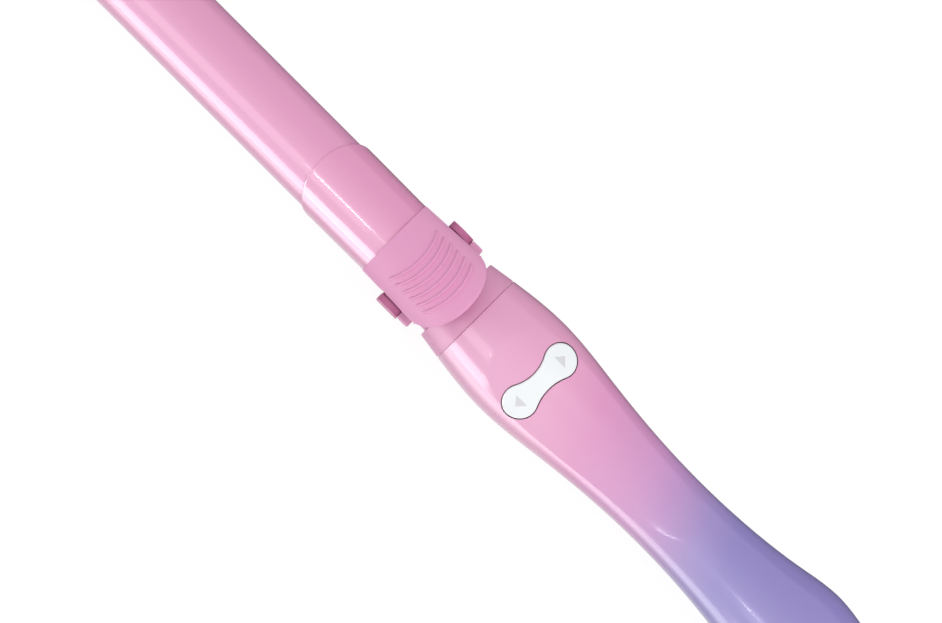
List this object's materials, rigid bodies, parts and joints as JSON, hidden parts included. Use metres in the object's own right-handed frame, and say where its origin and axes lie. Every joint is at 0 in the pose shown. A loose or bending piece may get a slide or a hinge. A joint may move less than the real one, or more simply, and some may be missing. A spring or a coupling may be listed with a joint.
{
  "type": "rotating curling iron",
  "caption": "Hand-held curling iron: a heated barrel with a sprung clamp turned by a geared motor in a waisted handle, with a two-way rocker button and a folding rest.",
  "frame": {"origin": "under the middle of the tool's length and width, on the surface that the stand's foot and the tail rest on", "axes": "+X along the barrel's axis from the cool tip to the tail, +Z out of the front with the clamp lever and rocker, +Y to the right-hand side seen from the tail end with the front up"},
  "size_m": [0.418, 0.0456, 0.0534],
  "materials": {
    "pink_enamel": "glossy enamel",
    "pink_gloss_plastic": "glossy",
    "pink_satin_plastic": "satin",
    "dark_pink_plastic": "satin",
    "handle_front": "glossy, pink fading to lavender",
    "handle_back": "glossy, pink fading to lavender",
    "lavender_plastic": "glossy",
    "white_plastic": "glossy",
    "aluminium": "extruded",
    "ceramic": "matt",
    "steel": "turned",
    "zinc_steel": "zinc plated",
    "brass": "turned",
    "bronze": "sintered",
    "carbon": "pressed carbon",
    "acetal": "moulded",
    "black_plastic": "moulded",
    "board": "solder mask",
    "light_pipe": "clear moulded",
    "fibre": "braided sleeve"
  },
  "bodies": {
    "barrel": {"cool_tip": "pink_satin_plastic", "barrel_tube": "pink_enamel", "heat_spreader_upper": "aluminium", "heat_spreader_lower": "aluminium", "ptc_heater": "ceramic", "thermal_fuse": "steel", "heater_leads": "fibre", "base_sleeve": "pink_satin_plastic", "hinge_pin": "steel", "clamp_spring": "steel", "front_collar": "pink_gloss_plastic", "spindle": "acetal", "spindle_screws": "zinc_steel", "ring_gear": "acetal", "slip_ring_front": "brass", "slip_ring_rear": "brass"},
    "stand": {"rest_stand": "dark_pink_plastic"},
    "clamp": {"clamp_plate": "pink_enamel", "clamp_tongue": "pink_gloss_plastic", "thumb_lever": "pink_satin_plastic"},
    "pinion": {"drive_pinion": "brass", "motor_shaft": "steel"},
    "handle": {"front_bearing": "bronze", "rear_bearing": "bronze", "motor_carrier": "acetal", "gearmotor": "steel", "motor_screws": "zinc_steel", "brush_holder": "black_plastic", "brushes": "carbon", "rocker_pin": "steel", "rocker_cradle": "acetal", "switch_board": "board", "tact_switch_left": "black_plastic", "tact_switch_right": "black_plastic", "handle_front_shell": "handle_front", "handle_back_shell": "handle_back", "shell_screws": "zinc_steel", "control_board": "board", "film_capacitor": "black_plastic", "relay": "black_plastic", "power_switch": "black_plastic", "power_board": "board", "light_pipe": "light_pipe", "tail_cap": "lavender_plastic"},
    "rocker": {"rocker_button": "white_plastic"},
    "power_key": {"power_button": "lavender_plastic"},
    "swivel": {"cord_swivel": "lavender_plastic"}
  },
  "joints": [
    {"name": "barrel_spin", "type": "hinge", "parent": "handle", "child": "barrel", "pos_m": [0.011, 0, 0.0228], "axis": [1, 0, 0], "continuous": true},
    {"name": "pinion_spin", "type": "hinge", "parent": "handle", "child": "pinion", "pos_m": [0.028, 0, 0.0133], "axis": [1, 0, 0], "continuous": true},
    {"name": "clamp_hinge", "type": "hinge", "parent": "barrel", "child": "clamp", "pos_m": [-0.0155, 0, 0.0363], "axis": [0, 1, 0], "range_deg": [0, 16], "stiffness_Nm_per_rad": 0.15, "springref_deg": -28.65, "deforming": ["clamp_spring"]},
    {"name": "stand_fold", "type": "hinge", "parent": "barrel", "child": "stand", "pos_m": [-0.0155, 0, 0.0228], "axis": [0, 1, 0], "range_deg": [0, 25]},
    {"name": "rocker_tilt", "type": "hinge", "parent": "handle", "child": "rocker", "pos_m": [0.04413, 0, 0.03759], "axis": [0.9892, 0, -0.1464], "range_deg": [-3.5, 3.5], "stiffness_Nm_per_rad": 0.35},
    {"name": "power_press", "type": "slide", "parent": "handle", "child": "power_key", "axis": [0, 0, -1], "range_m": [0, 0.0008], "stiffness_N_per_m": 2500, "springref_m": -0.0003},
    {"name": "cord_swivel_turn", "type": "hinge", "parent": "handle", "child": "swivel", "pos_m": [0.199, 0, 0.0228], "axis": [1, 0, 0], "continuous": true}
  ],
  "couplings": [
    {"joint": "pinion_spin", "follows": "barrel_spin", "ratio": 3.7143}
  ]
}
